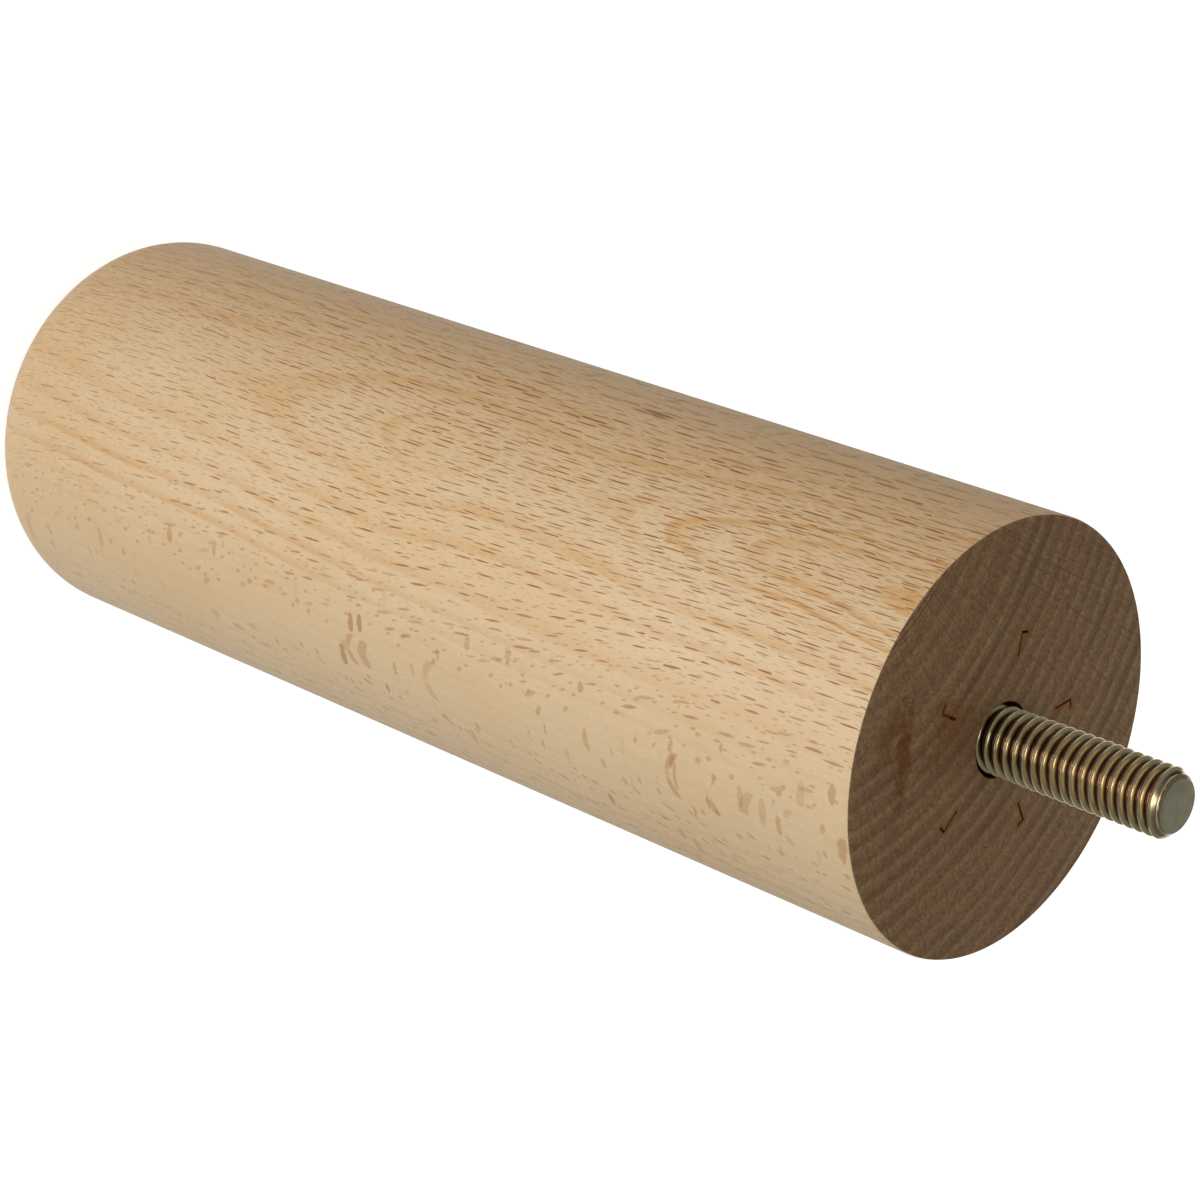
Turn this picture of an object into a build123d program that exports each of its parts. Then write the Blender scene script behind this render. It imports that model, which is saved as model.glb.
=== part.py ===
# A turned beech furniture leg with a hanger bolt screwed into its top.
#
# The leg stands on its foot: the origin is the centre of the foot's face and +Z runs up to the bolt.
# All lengths are in millimetres and all angles in degrees.

from build123d import *

import os
from math import radians, tan

# The turned leg
LEG_DIAMETER = 50.0
LEG_LENGTH = 150.0
FOOT_ROUNDING = 8.0  # radius turned on the rim that meets the floor
TOP_EDGE_BREAK = 0.4  # the rim at the top is only sanded

# The hanger bolt's machine thread and plain shank
THREAD_DIAMETER = 8.0  # M8, at the crests
THREAD_PROJECTION = 23.0  # full thread, from the leg's top to the bolt's end
THREAD_RUNOUT = 1.5  # where the thread fades into the shank, just below the leg's top
TIP_CHAMFER = 1.0
SHANK_DIAMETER = 7.0
SHANK_LENGTH = 4.5

# Its wood-screw end, buried in the leg
SCREW_DIAMETER = 8.0  # over the crests
SCREW_CORE_DIAMETER = 5.6
SCREW_LENGTH = 21.0  # with the point, which makes a bolt 50 mm long
SCREW_PITCH = 4.0
SCREW_RUNOUT = 3.0  # where the thread fades into the core at each end
CREST_WIDTH = 0.3
FLANK_ANGLE = 60.0  # between the two flanks of the thread
FLANK_SINK = 0.4  # the flanks run on below the core's surface, so that the two join cleanly
POINT_LENGTH = 6.0
POINT_DIAMETER = 0.8  # of the blunt tip
BLANK_ALLOWANCE = 0.5  # the blank that trims the thread is this much wider, and its ends this much narrower

# The hole drilled for it
MOUTH_CLEARANCE = 0.35  # round the machine thread
PILOT_CLEARANCE = 0.1  # round the screw's core
CUT_CLEARANCE = 0.05  # between the screw's thread and the groove that it cut
PILOT_BEYOND_POINT = 2.0
DRILL_POINT_ANGLE = 118.0

# The marks that the five teeth of the lathe's drive centre left in the top
TOOTH_COUNT = 5
FIRST_TOOTH_ANGLE = 53.0
TOOTH_OUTER_RADIUS = 12.2
TOOTH_LENGTH = 3.0
TOOTH_HOOK = 1.3  # sideways drag at each mark's outer end
TOOTH_WIDTH = 0.4
TOOTH_DEPTH = 0.8
TOOTH_TAPER = 6.0  # draft on the sides of each mark

leg_radius = LEG_DIAMETER / 2
thread_radius = THREAD_DIAMETER / 2
shank_radius = SHANK_DIAMETER / 2
screw_radius = SCREW_DIAMETER / 2
core_radius = SCREW_CORE_DIAMETER / 2
point_radius = POINT_DIAMETER / 2

bolt_end = LEG_LENGTH + THREAD_PROJECTION
shank_top = LEG_LENGTH - THREAD_RUNOUT
screw_top = shank_top - SHANK_LENGTH
screw_point = screw_top - SCREW_LENGTH
cone_top = screw_point + POINT_LENGTH


def wood_thread(clearance=0.0):
    """The screw's thread alone, or the groove that it cut in the wood when a clearance is given.

    One section is swept up a helix from the point's cone to the shank. A turned blank with a cone at
    each end then trims it, so that the thread fades in and out as a rolled one does.
    """
    root = core_radius - FLANK_SINK
    crest = screw_radius + clearance
    half_crest = CREST_WIDTH / 2 + clearance
    half_root = half_crest + (crest - root) * tan(radians(FLANK_ANGLE / 2))
    blank_radius = crest + BLANK_ALLOWANCE
    blank_end_radius = root - BLANK_ALLOWANCE
    cone_height = (blank_radius - blank_end_radius) * SCREW_RUNOUT / (crest - root)
    with BuildPart() as thread:
        with BuildLine():
            Helix(
                pitch=SCREW_PITCH,
                height=screw_top - cone_top,
                radius=core_radius,
                center=(0, 0, cone_top),
            )
        with BuildSketch(Plane.XZ):
            with BuildLine():
                Polyline(
                    (root, cone_top - half_root),
                    (crest, cone_top - half_crest),
                    (crest, cone_top + half_crest),
                    (root, cone_top + half_root),
                    close=True,
                )
            make_face()
        sweep(is_frenet=True)
        with BuildSketch(Plane.XZ):
            with BuildLine():
                Polyline(
                    (0, cone_top),
                    (blank_end_radius, cone_top),
                    (blank_radius, cone_top + cone_height),
                    (blank_radius, screw_top - cone_height),
                    (blank_end_radius, screw_top),
                    (0, screw_top),
                    close=True,
                )
            make_face()
        revolve(axis=Axis.Z, mode=Mode.INTERSECT)
    return thread.part


screw_thread = wood_thread()
cut_groove = wood_thread(CUT_CLEARANCE)

# Hanger bolt: one rod turned to its outline, with the wood thread standing on its lower end
with BuildPart() as hanger_bolt:
    with BuildSketch(Plane.XZ):
        with BuildLine():
            Polyline(
                (0, screw_point),
                (point_radius, screw_point),
                (core_radius, cone_top),
                (core_radius, screw_top),
                (shank_radius, screw_top + shank_radius - core_radius),
                (shank_radius, shank_top),
                (thread_radius, LEG_LENGTH),
                (thread_radius, bolt_end - TIP_CHAMFER),
                (thread_radius - TIP_CHAMFER, bolt_end),
                (0, bolt_end),
                close=True,
            )
        make_face()
    revolve(axis=Axis.Z)
    add(screw_thread)

# Leg: a turned cylinder with a rounded foot
mouth_radius = thread_radius + MOUTH_CLEARANCE
pilot_radius = core_radius + PILOT_CLEARANCE
pilot_floor = screw_point - PILOT_BEYOND_POINT
drill_point_height = pilot_radius / tan(radians(DRILL_POINT_ANGLE / 2))

with BuildPart() as leg:
    with BuildSketch():
        Circle(leg_radius)
    extrude(amount=LEG_LENGTH)
    fillet(leg.edges().sort_by(Axis.Z)[0], radius=FOOT_ROUNDING)
    chamfer(leg.edges().sort_by(Axis.Z)[-1], length=TOP_EDGE_BREAK)

    # The hole: a wide mouth, a pilot for the screw, the drill's point and the groove of the thread
    with Locations((0, 0, LEG_LENGTH)):
        CounterBoreHole(
            radius=pilot_radius,
            counter_bore_radius=mouth_radius,
            counter_bore_depth=LEG_LENGTH - screw_top,
            depth=LEG_LENGTH - pilot_floor,
        )
    with Locations((0, 0, pilot_floor)):
        Cone(
            bottom_radius=0,
            top_radius=pilot_radius,
            height=drill_point_height,
            align=(Align.CENTER, Align.CENTER, Align.MAX),
            mode=Mode.SUBTRACT,
        )
    add(cut_groove, mode=Mode.SUBTRACT)

    # The marks: each tooth cut a radial slit, then dragged a short way round at its outer end
    with BuildSketch(Plane.XY.offset(LEG_LENGTH)):
        with PolarLocations(TOOTH_OUTER_RADIUS, TOOTH_COUNT, start_angle=FIRST_TOOTH_ANGLE):
            Rectangle(TOOTH_LENGTH, TOOTH_WIDTH, align=(Align.MAX, Align.MAX))
            Rectangle(TOOTH_WIDTH, TOOTH_HOOK, align=(Align.MAX, Align.MAX))
    extrude(amount=-TOOTH_DEPTH, taper=TOOTH_TAPER, mode=Mode.SUBTRACT)

leg.part.label = "leg"
hanger_bolt.part.label = "hanger_bolt"

os.makedirs("parts", exist_ok=True)
export_step(leg.part, "parts/leg.step")
export_step(hanger_bolt.part, "parts/hanger_bolt.step")

for piece in (leg.part, hanger_bolt.part):
    box = piece.bounding_box()
    print(f"{piece.label}: {piece.volume:.0f} mm3, z {box.min.Z:.2f} to {box.max.Z:.2f} mm")
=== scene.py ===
from math import cos, pi, radians, sin, tan

import bmesh
import bpy
from mathutils import Matrix, Vector


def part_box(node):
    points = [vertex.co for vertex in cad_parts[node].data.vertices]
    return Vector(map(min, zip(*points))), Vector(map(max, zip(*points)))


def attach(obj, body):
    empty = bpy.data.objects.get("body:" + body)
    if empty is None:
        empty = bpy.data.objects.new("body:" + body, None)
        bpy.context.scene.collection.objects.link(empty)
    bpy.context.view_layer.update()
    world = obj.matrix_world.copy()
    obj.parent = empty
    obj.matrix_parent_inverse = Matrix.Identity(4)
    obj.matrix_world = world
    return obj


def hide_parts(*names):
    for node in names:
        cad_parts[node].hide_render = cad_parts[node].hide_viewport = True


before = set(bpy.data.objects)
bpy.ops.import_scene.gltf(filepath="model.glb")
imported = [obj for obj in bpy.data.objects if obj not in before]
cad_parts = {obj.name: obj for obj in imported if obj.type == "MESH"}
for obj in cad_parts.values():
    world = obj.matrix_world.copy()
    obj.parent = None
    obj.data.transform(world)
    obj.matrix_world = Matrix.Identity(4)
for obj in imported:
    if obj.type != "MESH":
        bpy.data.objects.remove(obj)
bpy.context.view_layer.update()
MM = 0.001

leg_low, leg_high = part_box("leg")
bolt_low, bolt_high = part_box("hanger_bolt")
leg_length = leg_high[2] / MM
leg_radius = (leg_high[0] - leg_low[0]) / 2 / MM
bolt_end = bolt_high[2] / MM
bolt_point = bolt_low[2] / MM
thread_radius = (bolt_high[0] - bolt_low[0]) / 2 / MM
print(f"leg {2 * leg_radius:.1f} x {leg_length:.1f} mm, bolt from z {bolt_point:.1f} to {bolt_end:.1f} mm")

# %% [markdown]
# ## Making an object
#
# A bmesh becomes an object that lies at the origin, because its place is in its mesh. Vertices that
# fall together are merged first, so that the faces know their neighbours and the normals can be
# turned outwards. Shading is smooth apart from the real edges, which a limit on the angle keeps.
# %% Making an object
SAME_POINT = 0.0005 * MM  # vertices that are closer than this are one
SHARP_EDGE = 35.0  # degrees from which an edge stays sharp


def make_object(name, bm, material):
    """Turns a bmesh into a smooth-shaded object that keeps its sharp edges."""
    bmesh.ops.remove_doubles(bm, verts=bm.verts, dist=SAME_POINT)
    bmesh.ops.recalc_face_normals(bm, faces=bm.faces)
    mesh = bpy.data.meshes.new(name)
    bm.to_mesh(mesh)
    bm.free()
    mesh.materials.append(material)
    mesh.shade_smooth()
    mesh.set_sharp_from_angle(angle=radians(SHARP_EDGE))
    made = bpy.data.objects.new(name, mesh)
    bpy.context.scene.collection.objects.link(made)
    mesh.calc_loop_triangles()
    print(f"{name}: {len(mesh.loop_triangles)} triangles")
    return made


# %% [markdown]
# ## Colours and materials
#
# Colours are written as the hex values that a colour picker shows, and Blender wants them linear. A
# material is a tree of nodes, so one helper adds a node with its settings, its values and its
# links. A new material starts with its shader joined to its output.
# %% Colours and materials
def colour(hex_value):
    """An sRGB hex colour as linear red, green, blue and alpha."""
    linear = []
    for start in (1, 3, 5):
        part = int(hex_value[start : start + 2], 16) / 255
        linear.append(part / 12.92 if part <= 0.04045 else ((part + 0.055) / 1.055) ** 2.4)
    return (*linear, 1.0)


def add(tree, kind, inputs=None, **settings):
    """Adds a node. Each input is a value to write, or a node or one of its outputs to link."""
    node = tree.nodes.new("ShaderNode" + kind)
    for name, value in settings.items():
        setattr(node, name, value)
    for key, value in (inputs or {}).items():
        if isinstance(value, bpy.types.Node):
            value = value.outputs[0]
        if isinstance(value, bpy.types.NodeSocket):
            tree.links.new(value, node.inputs[key])
        else:
            node.inputs[key].default_value = value
    return node


def new_material(name):
    """An empty node material: its tree, and its Principled shader joined to the output."""
    material = bpy.data.materials.new(name)
    material.use_nodes = True
    tree = material.node_tree
    tree.nodes.clear()
    shader = add(tree, "BsdfPrincipled")
    add(tree, "OutputMaterial", {"Surface": shader.outputs[0]})
    return material, tree, shader


# %% [markdown]
# ## The camera
#
# The leg stands on its foot, but the picture shows it lying: the camera looks down on it at about
# 41 degrees and is rolled a little past a quarter turn. A lens of 102 mm from 40 cm away keeps the
# near end only slightly larger than the foot.
# %% Camera
CAMERA_PLACE = (-2.06, -305.7, 353.0)
CAMERA_AIM = (1.23, 0.0, 90.04)
CAMERA_ROLL = 110.77
CAMERA_LENS = 102.15
CAMERA_SENSOR = 36.0

camera = bpy.data.objects.new("camera", bpy.data.cameras.new("camera"))
camera.data.lens = CAMERA_LENS
camera.data.sensor_width = CAMERA_SENSOR
camera.data.clip_start = 0.01
camera.location = Vector(CAMERA_PLACE) * MM
look = (Vector(CAMERA_AIM) - Vector(CAMERA_PLACE)).to_track_quat("-Z", "Y")
camera.rotation_euler = (look.to_matrix() @ Matrix.Rotation(radians(CAMERA_ROLL), 3, "Z")).to_euler()
bpy.context.scene.collection.objects.link(camera)
bpy.context.scene.camera = camera
print("camera", [round(value, 3) for value in camera.location])

# %% [markdown]
# ## Bare beech: where a point lies in the tree
#
# Wood is a solid texture. If the pattern is worked out from a point's place in the tree, the side,
# the end grain and the rounded foot all agree, as they do on a real turning. So the first step
# turns a place on the leg into millimetres in the trunk and finds how far it is from the pith. The
# leg was cut about 58 mm from the pith, which leans slightly, and that lean draws the long arches
# on the front of the leg. The place on the leg itself is kept too, for marks that came later.
# %% Beech: coordinates in the tree
PITH_PLACE = (19.0, 55.0, 0.0)  # from the pith to the middle of the foot
PITH_LEAN = 3.0  # degrees between the pith and the leg
GRAIN_WANDER = 5.0  # how far the grain strays from straight
WANDER_LENGTH = 55.0
TO_MILLIMETRES = (1 / MM, 1 / MM, 1 / MM)
IN_PLAN = (1.0, 1.0, 0.0)  # keeps only what lies across the trunk

beech, wood, beech_shader = new_material("beech_turned_and_sanded")

place = add(wood, "TexCoord")
trunk = add(
    wood,
    "Mapping",
    {
        "Vector": place.outputs["Object"],
        "Location": PITH_PLACE,
        "Rotation": (radians(PITH_LEAN), 0.0, 0.0),
        "Scale": TO_MILLIMETRES,
    },
)
wander = add(
    wood,
    "TexNoise",
    {"Vector": trunk, "Scale": 1 / WANDER_LENGTH, "Detail": 2.0, "Roughness": 0.4},
)
strayed = add(
    wood,
    "VectorMath",
    {0: wander.outputs["Color"], 1: (GRAIN_WANDER, GRAIN_WANDER, 0.0), 2: trunk},
    operation="MULTIPLY_ADD",
)
across = add(wood, "VectorMath", {0: strayed, 1: IN_PLAN}, operation="MULTIPLY")
from_pith = add(wood, "VectorMath", {0: across}, operation="LENGTH").outputs["Value"]

own_place = add(wood, "Mapping", {"Vector": place.outputs["Object"], "Scale": TO_MILLIMETRES})
own_axes = add(wood, "SeparateXYZ", {0: own_place})
own_height = own_axes.outputs["Z"]
own_across = add(wood, "VectorMath", {0: own_place, 1: IN_PLAN}, operation="MULTIPLY")
from_axis = add(wood, "VectorMath", {0: own_across}, operation="LENGTH").outputs["Value"]
print("beech: pith at", PITH_PLACE, "mm from the foot's middle")

# %% [markdown]
# ## Growth rings
#
# A tree adds one ring a year. Rings come from the distance to the pith divided by a ring's width,
# and a little noise makes the widths uneven. Where the front of the leg only just touches a ring,
# the ring shows as an arch whose point looks towards the foot. Halfway up, the inner rings swell
# out a little, which draws the closed eye there, and one run of years is thinner than the rest.
# %% Beech: growth rings
RING_WIDTH = 2.3
RING_UNEVENNESS = 1.2
UNEVEN_LENGTH = 18.0
FIRST_RING = 36.2  # radius of the ring that makes the first arch
FIRST_YEAR = 40.0  # the number of that ring's year
NARROW_FROM = 32.3  # a run of thin years lies between these two radii
NARROW_TO = 34.3
NARROW_EXTRA = 2.4  # how many years more than usual lie between them
BULGE = 2.6  # how far the inner rings swell out halfway up the leg
BULGE_START = 68.0
BULGE_END = 100.0
BULGE_REACH = (35.5, 41.5)  # radii between which the swelling dies away

uneven = add(
    wood,
    "TexNoise",
    {"Vector": strayed, "Scale": 1 / UNEVEN_LENGTH, "Detail": 1.0, "Roughness": 0.4},
)
ring_radius = add(
    wood,
    "Math",
    {0: uneven, 1: RING_UNEVENNESS, 2: from_pith},
    operation="MULTIPLY_ADD",
)
swelling = add(
    wood,
    "MapRange",
    {"Value": own_height, "From Min": BULGE_START, "From Max": BULGE_END, "To Max": BULGE},
    interpolation_type="SMOOTHSTEP",
)
swelling_share = add(
    wood,
    "MapRange",
    {"Value": ring_radius, "From Min": BULGE_REACH[1], "From Max": BULGE_REACH[0]},
    interpolation_type="SMOOTHSTEP",
)
swollen = add(
    wood,
    "Math",
    {0: swelling, 1: swelling_share, 2: ring_radius},
    operation="MULTIPLY_ADD",
)
narrow_years = add(
    wood,
    "MapRange",
    {
        "Value": swollen,
        "From Min": NARROW_FROM,
        "From Max": NARROW_TO,
        "To Min": FIRST_YEAR - NARROW_EXTRA,
        "To Max": FIRST_YEAR,
    },
)
from_first = add(wood, "Math", {0: swollen, 1: FIRST_RING}, operation="SUBTRACT")
wide_years = add(wood, "Math", {0: from_first, 1: RING_WIDTH}, operation="DIVIDE")
years = add(wood, "Math", {0: wide_years, 1: narrow_years}, operation="ADD")
in_year = add(wood, "Math", {0: years}, operation="FRACT")
year = add(wood, "Math", {0: years}, operation="FLOOR")
print(f"growth rings: {RING_WIDTH} mm apart, the first arch at {FIRST_RING} mm from the pith")

# %% [markdown]
# ## Late wood
#
# Each year's wood starts pale and ends in a thin band of darker, denser wood. The band grows in
# slowly and stops soon after, where the next spring begins. A random value for each year makes some
# rings plain and others faint. Masks like these are put together by multiplying them.
# %% Beech: late wood
LATE_RISE = (0.42, 0.86)  # parts of a year between which the wood darkens
LATE_FALL = (1.0, 0.87)  # and between which it turns pale again, written backwards
FAINTEST_YEAR = 0.35


def overlap(first, *others):
    """Where all of some masks cover the wood, from 0 to 1. A mask may be a plain share."""
    for other in others:
        first = add(wood, "Math", {0: first, 1: other}, operation="MULTIPLY", use_clamp=True)
    return first


late_rise = add(
    wood,
    "MapRange",
    {"Value": in_year, "From Min": LATE_RISE[0], "From Max": LATE_RISE[1]},
    interpolation_type="SMOOTHSTEP",
)
late_fall = add(
    wood,
    "MapRange",
    {"Value": in_year, "From Min": LATE_FALL[0], "From Max": LATE_FALL[1]},
    interpolation_type="SMOOTHSTEP",
)
year_chance = add(wood, "TexWhiteNoise", {"W": year}, noise_dimensions="1D")
year_share = add(wood, "MapRange", {"Value": year_chance, "To Min": FAINTEST_YEAR})
latewood = overlap(late_rise, late_fall, year_share)
print(f"late wood: darkest at {LATE_RISE[1]:.0%} of a year's growth")

# %% [markdown]
# ## Fibres, tone and end grain
#
# Between the rays the wood is almost even: fine streaks a few millimetres long, and slow changes of
# tone over centimetres. Where the surface cuts across the fibres their open ends swallow light, so
# the end of the leg is much darker and browner than its side. The surface's own normal says how
# far it is turned towards the trunk, and how squarely it cuts across the rays.
# %% Beech: fibres, tone and end grain
FIBRE_STREAK = (0.22, 0.22, 5.0)
GRAIN = (0.3, 0.3, 0.8)
TONE_PATCH = (11.0, 11.0, 22.0)
END_GRAIN_TILT = (0.55, 0.98)  # how far the surface faces along the leg, from side to end grain
SQUARE_TO_RAYS = (0.1, 0.75)  # how far it faces the pith, from rays cut along to rays cut across


def blotches(size, detail, roughness):
    """Random blotches of the given size in millimetres along x, y and the trunk."""
    space = add(
        wood,
        "VectorMath",
        {0: strayed, 1: tuple(1 / side for side in size)},
        operation="MULTIPLY",
    )
    return add(
        wood,
        "TexNoise",
        {"Vector": space, "Scale": 1.0, "Detail": detail, "Roughness": roughness},
    )


streaks = blotches(FIBRE_STREAK, 3.0, 0.6)
grain = blotches(GRAIN, 2.0, 0.6)
patches = blotches(TONE_PATCH, 2.0, 0.5)
grain_about_zero = add(wood, "Math", {0: grain, 1: 0.5}, operation="SUBTRACT")

facing = add(wood, "SeparateXYZ", {0: place.outputs["Normal"]})
tilt = add(wood, "Math", {0: facing.outputs["Z"]}, operation="ABSOLUTE")
end_grain = add(
    wood,
    "MapRange",
    {"Value": tilt, "From Min": END_GRAIN_TILT[0], "From Max": END_GRAIN_TILT[1]},
    interpolation_type="SMOOTHSTEP",
)
outward = add(wood, "VectorMath", {0: across}, operation="NORMALIZE")
squareness = add(
    wood,
    "VectorMath",
    {0: outward, 1: place.outputs["Normal"]},
    operation="DOT_PRODUCT",
)
cut_angle = add(wood, "Math", {0: squareness.outputs["Value"]}, operation="ABSOLUTE")
rays_cut_across = add(
    wood,
    "MapRange",
    {"Value": cut_angle, "From Min": SQUARE_TO_RAYS[0], "From Max": SQUARE_TO_RAYS[1]},
    interpolation_type="SMOOTHSTEP",
)
print("fibre streaks", FIBRE_STREAK, "mm, patches of tone", TONE_PATCH, "mm")

# %% [markdown]
# ## The space that rays grow in
#
# Rays run from the pith to the bark, so they are laid out in a space of their own: the distance
# from the pith, the length round the pith and the height up the trunk. A length round the pith is
# true at one radius only, so a ray's width and height are corrected for the others. Rays on the
# leg's -X side grew a little larger than the others.
# %% Beech: the space that rays grow in
RAY_REFERENCE = 40.0  # radius at which lengths round the pith are true
SPIRAL_GRAIN = 0.5  # degrees by which the fibres wind round the pith
VIGOUR_PLACES = (2.0, -20.0)  # places across the leg between which rays grow larger
VIGOUR = (0.9, 1.35)  # and their sizes at those places

trunk_axes = add(wood, "SeparateXYZ", {0: strayed})
trunk_height = trunk_axes.outputs["Z"]
turn = add(
    wood,
    "Math",
    {0: trunk_axes.outputs["Y"], 1: trunk_axes.outputs["X"]},
    operation="ARCTAN2",
)
round_pith = add(wood, "Math", {0: turn, 1: RAY_REFERENCE}, operation="MULTIPLY")
along_fibre = add(
    wood,
    "Math",
    {0: trunk_height, 1: -tan(radians(SPIRAL_GRAIN)), 2: round_pith},
    operation="MULTIPLY_ADD",
)
ray_space = add(wood, "CombineXYZ", {0: from_pith, 1: along_fibre, 2: trunk_height})
widening = add(wood, "Math", {0: from_pith, 1: RAY_REFERENCE}, operation="DIVIDE")
heightening = add(wood, "Math", {0: widening}, operation="SQRT")
true_size = add(wood, "CombineXYZ", {0: 1.0, 1: widening, 2: heightening})
vigour = add(
    wood,
    "MapRange",
    {
        "Value": own_axes.outputs["X"],
        "From Min": VIGOUR_PLACES[0],
        "From Max": VIGOUR_PLACES[1],
        "To Min": VIGOUR[0],
        "To Max": VIGOUR[1],
    },
)
print(f"rays: fibres wind by {SPIRAL_GRAIN} degrees round the pith")

# %% [markdown]
# ## Rays
#
# Beech is known by its rays, thin ribbons of tissue. Each is about 1 to 3 mm tall along the trunk,
# 0.1 to 0.2 mm thick and several centimetres long. Cut across they are the short dark dashes on the
# front of the leg, cut along they are the flecks low on its side, and on the end they are fine
# lines. A cell texture makes them: its cells are stretched to a ray's reach, and a spindle with
# pointed ends is drawn round the middle of each. A third, stouter set stands for the bundles of
# rays that show as the broad flecks where the cut runs along them.
# %% Beech: rays
CELL_DISORDER = 0.9
RAY_EDGE = (1.2, 0.7)  # from the outside of a ray's edge to its inside, in half sizes
RAY_BLUNTNESS = 4.0  # a higher power gives a ray's two far ends a squarer shape


def rays(reach, spacing, rise, length, thickness, height, variety, raggedness, growth):
    """Spindles, one to a cell of reach by spacing by rise. Returns their mask and a random value."""
    in_cells = add(
        wood,
        "VectorMath",
        {0: ray_space, 1: (1 / reach, 1 / spacing, 1 / rise)},
        operation="MULTIPLY",
    )
    cells = add(wood, "TexVoronoi", {"Vector": in_cells, "Scale": 1.0, "Randomness": CELL_DISORDER})
    away = add(wood, "VectorMath", {0: in_cells, 1: cells.outputs["Position"]}, operation="SUBTRACT")
    in_half_sizes = add(
        wood,
        "VectorMath",
        {0: away, 1: (2 * reach / length, 2 * spacing / thickness, 2 * rise / height)},
        operation="MULTIPLY",
    )
    in_place = add(wood, "VectorMath", {0: in_half_sizes, 1: true_size}, operation="MULTIPLY")
    chance = add(wood, "SeparateColor", {0: cells.outputs["Color"]})
    size = add(wood, "MapRange", {"Value": chance, "To Min": 1.0 - variety})
    grown = add(wood, "Math", {0: size, 1: growth}, operation="MULTIPLY")
    sized = add(wood, "VectorMath", {0: in_place, 1: grown}, operation="DIVIDE")
    parts = add(wood, "SeparateXYZ", {0: sized})
    sideways = add(wood, "Math", {0: parts.outputs["Y"]}, operation="ABSOLUTE")
    upwards = add(
        wood,
        "Math",
        {0: parts.outputs["Z"], 1: parts.outputs["Z"], 2: sideways},
        operation="MULTIPLY_ADD",
    )
    lengthwise = add(wood, "Math", {0: parts.outputs["X"], 1: RAY_BLUNTNESS}, operation="POWER")
    from_middle = add(wood, "Math", {0: lengthwise, 1: upwards}, operation="ADD")
    ragged = add(
        wood,
        "Math",
        {0: grain_about_zero, 1: raggedness, 2: from_middle},
        operation="MULTIPLY_ADD",
    )
    ray = add(
        wood,
        "MapRange",
        {"Value": ragged, "From Min": RAY_EDGE[0], "From Max": RAY_EDGE[1]},
        interpolation_type="SMOOTHSTEP",
    )
    return ray, chance.outputs[1]


broad_rays, broad_chance = rays(
    reach=26.0,
    spacing=1.0,
    rise=3.3,
    length=74.0,
    thickness=0.175,
    height=3.6,
    variety=0.55,
    raggedness=0.4,
    growth=vigour,
)
fine_rays, _ = rays(
    reach=12.0,
    spacing=0.6,
    rise=1.9,
    length=34.0,
    thickness=0.14,
    height=1.3,
    variety=0.5,
    raggedness=0.0,
    growth=vigour,
)
flecks, fleck_chance = rays(
    reach=5.0,
    spacing=1.5,
    rise=2.8,
    length=4.2,
    thickness=1.3,
    height=1.5,
    variety=0.7,
    raggedness=1.4,
    growth=1.0,
)
print("rays: three sets, drawn in", len(wood.nodes), "nodes so far")

# %% [markdown]
# ## The colour of the side
#
# Colours are laid over one another as thin coats, from the broadest to the finest. First comes pale
# wood with patches of tone, which turns warmer and a little darker towards the leg's -X side, then
# the tan late wood. It is strongest where the side cuts flat along the rings, and close to the foot
# it fades.
# %% Beech: wood between the rays
PALE_WOOD = colour("#dec199")
WARM_PATCH = colour("#dab687")
WARM_SIDE = colour("#d3a874")
LATE_WOOD = colour("#cb8f46")
PATCH_STRENGTH = 0.55
WARM_STRENGTH = 0.7
WARM_SIDE_START = -6.0  # the wood warms from here ...
WARM_SIDE_END = -24.0  # ... to here, in millimetres across the leg
LATE_FADE = (9.0, 9.0, 14.0)  # size of the stretches where a ring is strong or faint
LATE_STRENGTH = (0.5, 1.05)
LATE_ON_THE_QUARTER = 0.15  # its strength where the side cuts squarely across the rings
FADES_AT_FOOT = (5.0, 35.0)  # heights between which the rings come up to strength


def coated(under, *coats):
    """A colour under coats of other colours. Each coat is its mask and its colour."""
    for mask, tint in coats:
        under = add(wood, "Mix", {0: mask, 6: under, 7: tint}, data_type="RGBA").outputs[2]
    return under


patch_amount = add(
    wood,
    "MapRange",
    {"Value": patches, "From Min": 0.35, "From Max": 0.75, "To Max": PATCH_STRENGTH},
    interpolation_type="SMOOTHSTEP",
)
warm_amount = add(
    wood,
    "MapRange",
    {
        "Value": own_axes.outputs["X"],
        "From Min": WARM_SIDE_START,
        "From Max": WARM_SIDE_END,
        "To Max": WARM_STRENGTH,
    },
)
late_fade = add(
    wood,
    "MapRange",
    {"Value": blotches(LATE_FADE, 2.0, 0.5), "From Min": 0.35, "From Max": 0.65},
)
late_strength = add(
    wood,
    "MapRange",
    {"Value": late_fade, "To Min": LATE_STRENGTH[0], "To Max": LATE_STRENGTH[1]},
)
flat_cut = add(wood, "MapRange", {"Value": rays_cut_across, "To Min": LATE_ON_THE_QUARTER})
late_ragged = add(
    wood,
    "MapRange",
    {"Value": streaks, "From Min": 0.35, "From Max": 0.62, "To Min": 0.45, "To Max": 1.15},
)
past_foot = add(
    wood,
    "MapRange",
    {"Value": own_height, "From Min": FADES_AT_FOOT[0], "From Max": FADES_AT_FOOT[1], "To Min": 0.5},
)
late_amount = overlap(late_strength, past_foot, flat_cut, late_ragged, latewood)
side_colour = coated(
    PALE_WOOD,
    (patch_amount, WARM_PATCH),
    (warm_amount, WARM_SIDE),
    (late_amount, LATE_WOOD),
)
print("side: warmer from x", WARM_SIDE_START, "to", WARM_SIDE_END, "mm")

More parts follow.
